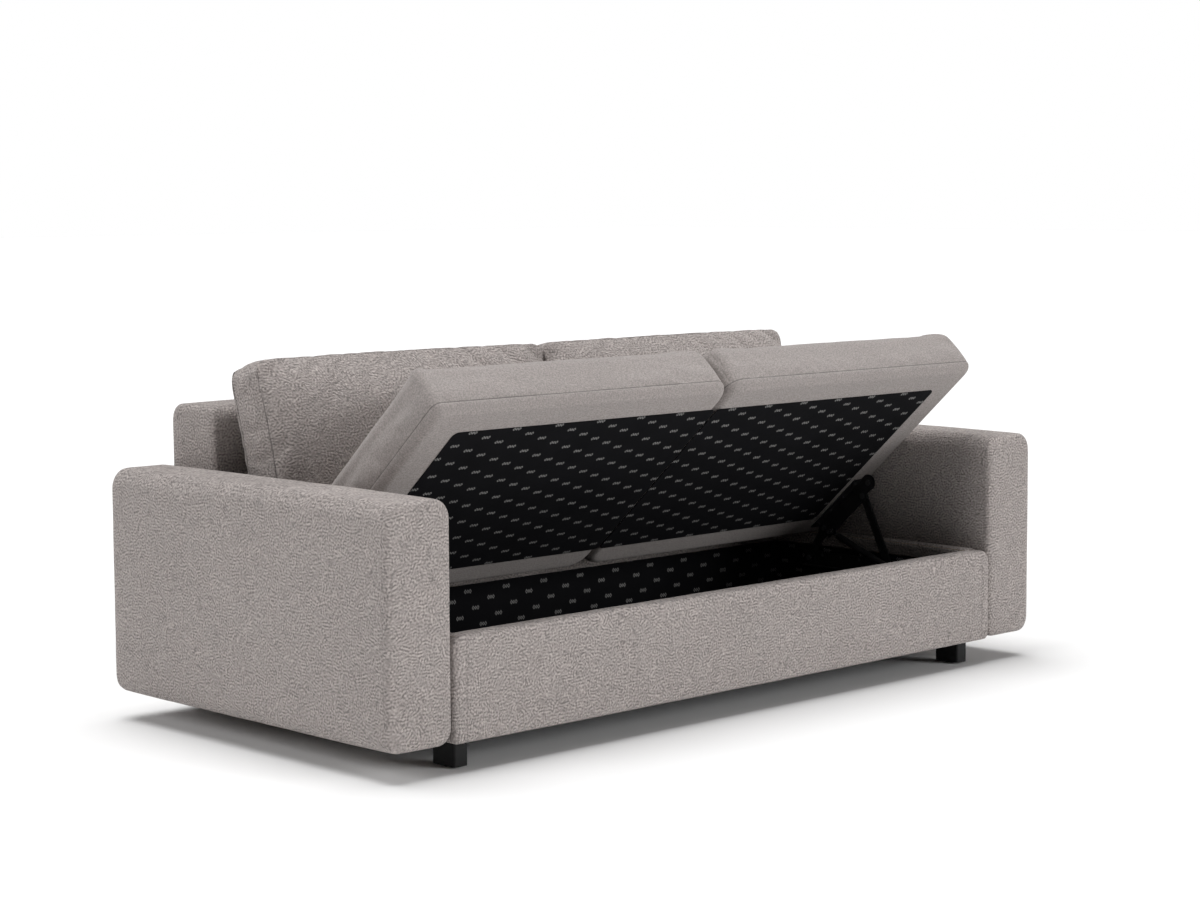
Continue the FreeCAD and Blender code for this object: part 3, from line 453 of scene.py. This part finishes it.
def storage_lining():
    """Inside skin of the box, with each wall's map folded out from the floor's."""
    x, z0 = BOX_IN - LINING_ROOM, BOX_FLOOR + LINING_ROOM
    y0, y1 = BOX_FRONT - LINING_FRONT_ROOM, BOX_REAR - LINING_ROOM
    xs, ys, zs = (rolled(lo, hi, LINING_STEP, [0], [0])
                  for lo, hi in ((-x, x), (y0, y1), (z0, LINING_TOP)))
    points, quads, uv = [], [], []

    def patch(rows, columns, place, chart):
        base, wide = len(points), len(columns)
        for r in rows:
            points.extend(place(r, c) for c in columns)
            uv.extend(chart(r, c) for c in columns)
        for i in range(len(rows) - 1):
            for j in range(wide - 1):
                at = base + i * wide + j
                quads.append((at, at + 1, at + wide + 1, at + wide))

    patch(ys, xs, lambda r, c: (c, r, z0), lambda r, c: (c, r))
    patch(zs, xs, lambda r, c: (c, y1, r), lambda r, c: (c, y1 + r - z0))
    patch(zs, xs, lambda r, c: (c, y0, r), lambda r, c: (c, y0 - r + z0))
    patch(zs, ys, lambda r, c: (-x, c, r), lambda r, c: (c - x, r))
    patch(zs, ys, lambda r, c: (x, c, r), lambda r, c: (c + x, r))
    shape = np.array(points)
    wobble = sum(rough(shape, waves, seed) * size for waves, seed, size in LINING_WAVES)
    inward = np.array([0.0, (y0 + y1) / 2, 0.5]) - shape
    inward /= np.linalg.norm(inward, axis=1)[:, None]
    shape += inward * (LINING_LEAST + np.abs(wobble))[:, None]
    return mesh_object("lining_skin", shape, quads, uv=np.array(uv))


class Nodes:
    """Short hand for building the nodes of a material or a world."""

    def __init__(self, owner):
        owner.use_nodes = True
        self.owner = owner
        self.tree = owner.node_tree

    def add(self, kind, **values):
        node = self.tree.nodes.new(kind)
        for key, value in values.items():
            if hasattr(node, key):
                setattr(node, key, value)
            else:
                node.inputs[key.replace("_", " ")].default_value = value
        return node

    def put(self, socket, value):
        """Links the value to the socket, or writes it there if it is a number or a colour."""
        if isinstance(value, bpy.types.NodeSocket):
            self.tree.links.new(value, socket)
        else:
            socket.default_value = value + (1.0,) if isinstance(value, tuple) else value

    def math(self, kind, *values):
        node = self.add("ShaderNodeMath", operation=kind)
        for socket, value in zip(node.inputs, values):
            self.put(socket, value)
        return node.outputs[0]

    def scaled(self, value, gain, start=0.0):
        """start + gain * value"""
        return self.math("ADD", start, self.math("MULTIPLY", value, gain))

    def swung(self, value, gain, middle):
        """middle, and more or less than that as the value is over or under a half"""
        return self.scaled(self.math("SUBTRACT", value, 0.5), gain, middle)

    def mix(self, share, a, b, blend="MIX"):
        node = self.add("ShaderNodeMix", data_type="RGBA", blend_type=blend)
        for slot, value in ((0, share), (6, a), (7, b)):
            self.put(node.inputs[slot], value)
        return node.outputs[2]

    def coords(self, kind="Object"):
        return self.tree.nodes.new("ShaderNodeTexCoord").outputs[kind]

    def noise(self, vector, scale, detail=2.0, roughness=0.5, distortion=0.0):
        node = self.add("ShaderNodeTexNoise", Scale=scale, Detail=detail, Roughness=roughness,
                        Distortion=distortion)
        self.put(node.inputs["Vector"], vector)
        return node.outputs["Fac"]

    def bump(self, height, distance, strength, before=None):
        node = self.add("ShaderNodeBump", Distance=distance, Strength=strength)
        self.put(node.inputs["Height"], height)
        if before is not None:
            self.put(node.inputs["Normal"], before)
        return node.outputs["Normal"]


def material(name):
    return Nodes(bpy.data.materials.new(name))


def finished(m, **values):
    """Puts the values on the shader's sockets, named with _ for a space."""
    shader = m.tree.nodes["Principled BSDF"]
    for key, value in values.items():
        m.put(shader.inputs[key.replace("_", " ")], value)
    return m.owner


def toned(colour, gain, lift=0.0):
    return tuple(min(1.0, v * gain + lift) for v in colour)


# Upholstery fabric: the curls in one cell of the Gabor texture, the gain of the yarn's tone, which
# holds painted light and shade of the curls too, and the pale side's share of the contrast; the
# cooler patches and the broader clouds, as scale, tint or level and share; the tone, sharpness and
# share of the shade painted along a seam; the relief's ridges, and the slack of the cloth as
# scale, depth and strength
CURLS_IN_CELL, YARN_GAIN, PALE_SHARE = 2.4, 2.6, 0.8
PATCH_SCALE, PATCH_TINT, PATCH_SHARE = 22.0, (0.90, 0.98, 0.99), 0.35
CLOUD_SCALE, CLOUD_LOW, CLOUD_SPAN = 2.6, 0.92, 0.16
SEAM_SHADE_TONE, SEAM_SHADE_SHARPNESS, SEAM_SHADE_SHARE = 0.20, 1.3, 0.92
RIDGE_SCALE, RIDGE_FOLDS, RIDGE_HIGH = 1.1, 2.6, 0.5
SLACK_SCALE, SLACK_DEPTH, SLACK_STRENGTH = 12.0, 0.0030, 0.4


def pile_fabric(name, base, curls, contrast, relief, wormy):
    """Upholstery fabric. curls is how many curls of yarn there are in a metre, the contrast how
    much they differ in tone, partly the yarn's own and partly painted light and shade of the
    curls, and relief how far they stand out. wormy fabric has worm-like loops, and the other a
    short even nap."""
    m = material(name)
    at = m.coords()
    if wormy:
        wave = m.add("ShaderNodeTexGabor", gabor_type="3D", Scale=curls / CURLS_IN_CELL,
                     Frequency=CURLS_IN_CELL, Anisotropy=0.0)
        m.put(wave.inputs["Vector"], at)
        yarn = wave.outputs["Value"]
    else:
        yarn = m.noise(at, curls, 1.0)
    # The curls' tone is partly the yarn's own and partly painted light and shade of their relief:
    # lit curls paler, hollows darker
    loops = m.math("MINIMUM", m.math("MAXIMUM", m.swung(yarn, YARN_GAIN, 0.5), 0.0), 1.0)
    colour = m.mix(loops, toned(base, 1 - contrast), toned(base, 1 + contrast * PALE_SHARE))
    cool = tuple(v * k for v, k in zip(base, PATCH_TINT))
    patches = m.math("MULTIPLY", m.noise(at, PATCH_SCALE, 3.0, 0.6), PATCH_SHARE)
    clouds = m.scaled(m.noise(at, CLOUD_SCALE, 4.0, 0.6), CLOUD_SPAN, CLOUD_LOW)
    colour = m.mix(1.0, m.mix(patches, colour, cool), clouds, "MULTIPLY")
    # Painted shade along the seams: the colour darkens where the mesh's seam attribute is high
    seam = m.add("ShaderNodeAttribute", attribute_name="seam").outputs["Fac"]
    seam = m.math("MULTIPLY", m.math("POWER", seam, SEAM_SHADE_SHARPNESS), SEAM_SHADE_SHARE)
    colour = m.mix(seam, colour, toned(base, SEAM_SHADE_TONE))
    folds = m.math("MULTIPLY", m.noise(at, curls * RIDGE_SCALE, 0.0), RIDGE_FOLDS)
    ridges = m.bump(m.math("PINGPONG", folds, RIDGE_HIGH), relief, 1.0)
    normal = m.bump(m.noise(at, SLACK_SCALE), SLACK_DEPTH, SLACK_STRENGTH, ridges)
    return finished(m, Base_Color=colour, Normal=normal, Roughness=0.95, Sheen_Weight=0.12,
                    Sheen_Roughness=0.5, Specular_IOR_Level=0.12)


# The lining's print in metres: rows, how far apart the marks are in a row, how far each row is
# moved on, and a mark's three lozenges by their place, half size, line and flatness
MARK_ROW, MARK_PITCH, MARK_SHIFT = 0.0222, 0.1315, 0.0530
LOZENGES = ((-0.0080, 0.0036), (0.0, 0.0030), (0.0080, 0.0036))
LOZENGE_LINE, LOZENGE_FLAT = 0.0015, 0.78
PRINT_TONE = (0.26, 0.256, 0.25)
GROUND_DARK, GROUND_PALE = (0.0040, 0.0040, 0.0046), (0.0085, 0.0085, 0.0098)
# The weave's threads as an angle in a metre, and its relief
THREADS, WEAVE_DEPTH = 3600.0, 0.00025


def marked_lining(name):
    """Black woven lining with small pale lozenges in staggered rows, laid out on the UV map."""
    m = material(name)
    split = m.add("ShaderNodeSeparateXYZ")
    m.put(split.inputs[0], m.coords("UV"))
    u, v = split.outputs[0], split.outputs[1]

    def from_middle(value, pitch):
        cell = m.math("SUBTRACT", m.math("FRACT", m.math("DIVIDE", value, pitch)), 0.5)
        return m.math("MULTIPLY", cell, pitch)

    row = m.math("FLOOR", m.math("DIVIDE", v, MARK_ROW))
    along = from_middle(m.math("SUBTRACT", u, m.math("MULTIPLY", row, MARK_SHIFT)), MARK_PITCH)
    across = m.math("MULTIPLY", m.math("ABSOLUTE", from_middle(v, MARK_ROW)), LOZENGE_FLAT)
    ring = 0.0
    for centre, size in LOZENGES:
        far = m.math("ADD", m.math("ABSOLUTE", m.math("SUBTRACT", along, centre)), across)
        off_line = m.math("ABSOLUTE", m.math("SUBTRACT", far, size))
        ring = m.math("MAXIMUM", ring, m.math("LESS_THAN", off_line, LOZENGE_LINE))
    threads = [m.math("SINE", m.math("MULTIPLY", way, THREADS)) for way in (u, v)]
    weave = m.math("MULTIPLY", m.math("ADD", *threads), 0.25)
    at = m.coords()
    ground = m.mix(m.noise(at, 9.0, 3.0), GROUND_DARK, GROUND_PALE)
    worn = m.scaled(m.noise(at, 160.0), 0.6, 0.45)
    colour = m.mix(m.math("MULTIPLY", ring, worn), ground, PRINT_TONE)
    normal = m.bump(m.noise(at, 11.0, 3.0), 0.0030, 0.45, m.bump(weave, WEAVE_DEPTH, 0.6))
    return finished(m, Base_Color=colour, Normal=normal, Roughness=0.85, Specular_IOR_Level=0.05)


def coated_steel(name, base, roughness):
    m = material(name)
    at = m.coords()
    rub = m.noise(at, 26.0, 4.0, 0.65)
    colour = m.mix(m.math("MULTIPLY", rub, 0.8), base, toned(base, 1.9, 0.006))
    return finished(m, Base_Color=colour, Normal=m.bump(m.noise(at, 420.0), 0.00012, 0.6),
                    Roughness=m.swung(rub, 0.25, roughness), Specular_IOR_Level=0.30)


def bright_metal(name, base, roughness, fine):
    m = material(name)
    streak = m.noise(m.coords(), fine, 3.0)
    return finished(m, Base_Color=m.mix(streak, base, toned(base, 1.25)),
                    Normal=m.bump(streak, 0.00005, 0.5), Metallic=1.0,
                    Roughness=m.scaled(streak, 0.12, roughness))


def timber(name, pale, dark, scale):
    m = material(name)
    stretch = m.add("ShaderNodeMapping")
    stretch.inputs["Scale"].default_value = (1.0, 6.0, 6.0)
    m.put(stretch.inputs["Vector"], m.coords())
    grain = m.noise(stretch.outputs[0], scale, 5.0, 0.6, 0.6)
    return finished(m, Base_Color=m.mix(grain, dark, pale), Normal=m.bump(grain, 0.0004, 0.5),
                    Roughness=0.68)


def plastic(name, base, roughness, grain):
    m = material(name)
    at = m.coords()
    return finished(m, Base_Color=m.mix(m.noise(at, 12.0), base, toned(base, 1.5, 0.002)),
                    Normal=m.bump(m.noise(at, grain), 0.00015, 0.5), Roughness=roughness,
                    Specular_IOR_Level=0.15)


def webbing_cloth(name):
    m = material(name)
    stripe = m.noise(m.coords(), 500.0, 1.0)
    return finished(m, Base_Color=m.mix(stripe, (0.05, 0.042, 0.035), (0.10, 0.088, 0.070)),
                    Normal=m.bump(stripe, 0.0004, 0.6), Roughness=0.9)


TAUPE, SEAT_TAUPE = (0.378, 0.334, 0.318), (0.318, 0.283, 0.270)
LOOKS = {
    "boucle_fabric": (pile_fabric, dict(base=TAUPE, curls=138.0, contrast=0.50, relief=0.0036,
                                        wormy=True)),
    "seat_fabric": (pile_fabric, dict(base=SEAT_TAUPE, curls=260.0, contrast=0.26,
                                      relief=0.0010, wormy=False)),
    "black_lining": (marked_lining, {}),
    "black_steel": (coated_steel, dict(base=(0.006, 0.006, 0.0065), roughness=0.45)),
    "zinc_steel": (bright_metal, dict(base=(0.085, 0.085, 0.088), roughness=0.42, fine=300.0)),
    "bright_rod": (bright_metal, dict(base=(0.13, 0.13, 0.135), roughness=0.22, fine=180.0)),
    "black_plastic": (plastic, dict(base=(0.0032, 0.0032, 0.0035), roughness=0.46, grain=600.0)),
    "felt": (plastic, dict(base=(0.012, 0.012, 0.012), roughness=0.95, grain=900.0)),
    "timber": (timber, dict(pale=(0.50, 0.36, 0.22), dark=(0.36, 0.24, 0.13), scale=9.0)),
    "plywood": (timber, dict(pale=(0.46, 0.35, 0.23), dark=(0.34, 0.24, 0.15), scale=14.0)),
    "webbing": (webbing_cloth, {}),
}
looks = {name: make(name, **values) for name, (make, values) in LOOKS.items()}


def dress(obj, look):
    obj.data.materials.clear()
    obj.data.materials.append(looks[look])


def piece(obj, look, body, node):
    """Gives a piece its look and its body, and hides the solid it stands for."""
    dress(obj, look)
    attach(obj, body)
    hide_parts(node)


def soft(obj, look, body, node):
    piece(obj, look, body, node)


slots = {entry["node"]: entry["material_slot"] for entry in frame["record"]["subparts"]}
for node_name, node in frame["nodes"].items():
    dress(node, slots[node_name])

for side, sign, seed in (("left", -1, 11), ("right", 1, 23)):
    inner, outer = sorted((sign * ARM_IN, sign * ARM_OUT))
    arm = padded_bar("arm_" + side, 1, (inner, ARM_FRONT, ARM_LOW), (outer, ARM_BACK, ARM_TOP),
                     radii=[0.034, 0.034, 0.042, 0.042], rolls=(0.016, 0.036), step=0.016,
                     swell=0.0022, seams=(ARM_FRONT + 0.017,), seed=seed, seam_shade=0.25)
    soft(arm, "boucle_fabric", "base", "arm_cover_" + side)

backrest = padded_bar("backrest", 0, (-BACKREST_HALF, BACKREST_FRONT, BASE_LOW),
                      (BACKREST_HALF, BACKREST_REAR, BACKREST_TOP),
                      radii=[0.010, 0.010, 0.036, 0.036], rolls=(0.013, 0.013), step=0.018,
                      swell=0.003, seed=37)
soft(backrest, "boucle_fabric", "base", "backrest_cover")

wall = padded_bar("front_wall", 1, (-BASE_HALF, BASE_FRONT, BASE_LOW),
                  (BASE_HALF, BOX_FRONT, WALL_TOP), radii=[0.012, 0.012, 0.027, 0.027],
                  rolls=(0.013, 0.013), step=0.014, swell=0.0012,
                  cross_seams=(-0.905, 0.905), seed=41, uneven=0.0006)
soft(wall, "boucle_fabric", "base", "front_cover")

RIM_CLEAR_IN, RIM_CLEAR_OUT = 0.0028, 0.0015
for side, sign in (("left", -1), ("right", 1)):
    inner, outer = sorted((sign * (BOX_IN - RIM_CLEAR_IN), sign * (ARM_IN - RIM_CLEAR_OUT)))
    rim = padded_bar("rim_" + side, 1, (inner, BOX_FRONT, RIM_LOW),
                     (outer, BACKREST_FRONT, RIM_TOP), radii=[0.004, 0.004, 0.014, 0.014],
                     rolls=(0.0, 0.0), step=0.014, swell=0.0004, seed=51, uneven=0.0003)
    soft(rim, "boucle_fabric", "base", "side_rim_" + side)

DECK_OVER_LINING = 0.004
deck = padded_bar("deck", 0, (-BOX_IN, BOX_REAR - DECK_OVER_LINING, RIM_LOW),
                  (BOX_IN, BACKREST_FRONT, DECK_TOP), radii=[0.004, 0.004, 0.004, 0.010],
                  rolls=(0.0, 0.0), step=0.016, swell=0.0008, seed=57, uneven=0.0006)
soft(deck, "boucle_fabric", "base", "deck_cover")

for side, x0, x1 in (("left", -SEAT_HALF, -SEAT_SPLIT), ("right", SEAT_SPLIT, SEAT_HALF)):
    seat = seat_module("seat_" + side, x0, x1, side == "right")
    soft(seat, "seat_fabric", "seat", "seat_cushion_" + side)

for side, x0, x1, seed in (("left", -CUSHION_END, -CUSHION_SPLIT, 7),
                           ("right", CUSHION_SPLIT, CUSHION_END, 13)):
    cushion = back_cushion("cushion_" + side, x0, x1, seed)
    soft(cushion, "boucle_fabric", "base", "back_cushion_" + side)

cover_wide = SEAT_HALF - COVER_SIDE - COVER_INNER
cover_deep = SEAT_LONG - 2 * COVER_ENDS
for side, sign, seed in (("left", -1, 60), ("right", 1, 62)):
    cover = under_cover("under_" + side, sign * (COVER_INNER + cover_wide / 2), cover_wide,
                        cover_deep, seed)
    piece(cover, "black_lining", "seat", "seat_underside_" + side)

piece(storage_lining(), "black_lining", "base", "storage_lining")

# Each lamp: height and turn of where it shines from in degrees (turn 0 is the sofa's front, 90
# its left end, 180 its back), its level on a surface facing it, and how wide it is in degrees
LAMPS = ((80.0, 180.0, 0.93, 50.0), (13.0, -30.0, 0.56, 30.0), (32.0, 98.0, 0.30, 26.0))
LEVEL_SKY, FLOOR_WHITE, FLOOR_REACH = 0.08, 0.88, 60.0


def white_floor():
    r = FLOOR_REACH
    mesh = bpy.data.meshes.new("floor")
    mesh.from_pydata([(-r, -r, 0), (r, -r, 0), (r, r, 0), (-r, r, 0)], [], [(0, 1, 2, 3)])
    mesh.materials.append(finished(material("floor"), Base_Color=(FLOOR_WHITE,) * 3, Roughness=1.0,
                                   Specular_IOR_Level=0.0))
    placed("floor", mesh)


def white_world():
    """White for rays from the camera, a mirror or glass, and a plain low level of light for the
    rays that light things."""
    world = bpy.data.worlds.new("studio")
    m = Nodes(world)
    path = m.tree.nodes.new("ShaderNodeLightPath").outputs
    seen = m.math("MAXIMUM", path["Is Camera Ray"], path["Is Glossy Ray"])
    seen = m.math("MAXIMUM", seen, path["Is Transmission Ray"])
    background = m.tree.nodes["Background"].inputs
    background["Color"].default_value = (1, 1, 1, 1)
    m.put(background["Strength"], m.scaled(seen, 1.0 - LEVEL_SKY, LEVEL_SKY))
    bpy.context.scene.world = world


def lamps():
    for number, (high, turn, level, wide) in enumerate(LAMPS):
        lamp = bpy.data.lights.new(f"lamp_{number}", "SUN")
        lamp.energy = level * math.pi
        lamp.angle = math.radians(wide)
        up, side = math.radians(high), math.radians(turn)
        shines_from = Vector((-math.sin(side) * math.cos(up), -math.cos(side) * math.cos(up),
                              math.sin(up)))
        placed(lamp.name, lamp).rotation_euler = shines_from.to_track_quat("Z", "Y").to_euler()


# Solved from the photograph's straight edges
CAMERA_AT = (-4.51406, -4.68657, 1.2567)
YAW, PITCH, ROLL = math.radians(43.99), math.radians(5.73), math.radians(-0.273)
LENS_MM, SENSOR_MM, CAMERA_REACH = 77.12, 36.0, 200.0


def camera():
    ahead = Vector((math.sin(YAW) * math.cos(PITCH), math.cos(YAW) * math.cos(PITCH),
                    -math.sin(PITCH)))
    right = Vector((math.cos(YAW), -math.sin(YAW), 0))
    up = right.cross(ahead)
    right, up = (right * math.cos(ROLL) + up * math.sin(ROLL),
                 up * math.cos(ROLL) - right * math.sin(ROLL))
    lens = bpy.data.cameras.new("camera")
    lens.lens, lens.sensor_width, lens.clip_end = LENS_MM, SENSOR_MM, CAMERA_REACH
    obj = placed("camera", lens)
    turn = Matrix((right, up, -ahead)).transposed().to_4x4()
    obj.matrix_world = Matrix.Translation(CAMERA_AT) @ turn
    bpy.context.scene.camera = obj


white_floor()
white_world()
lamps()
camera()
bpy.context.scene.view_settings.view_transform = "Standard"
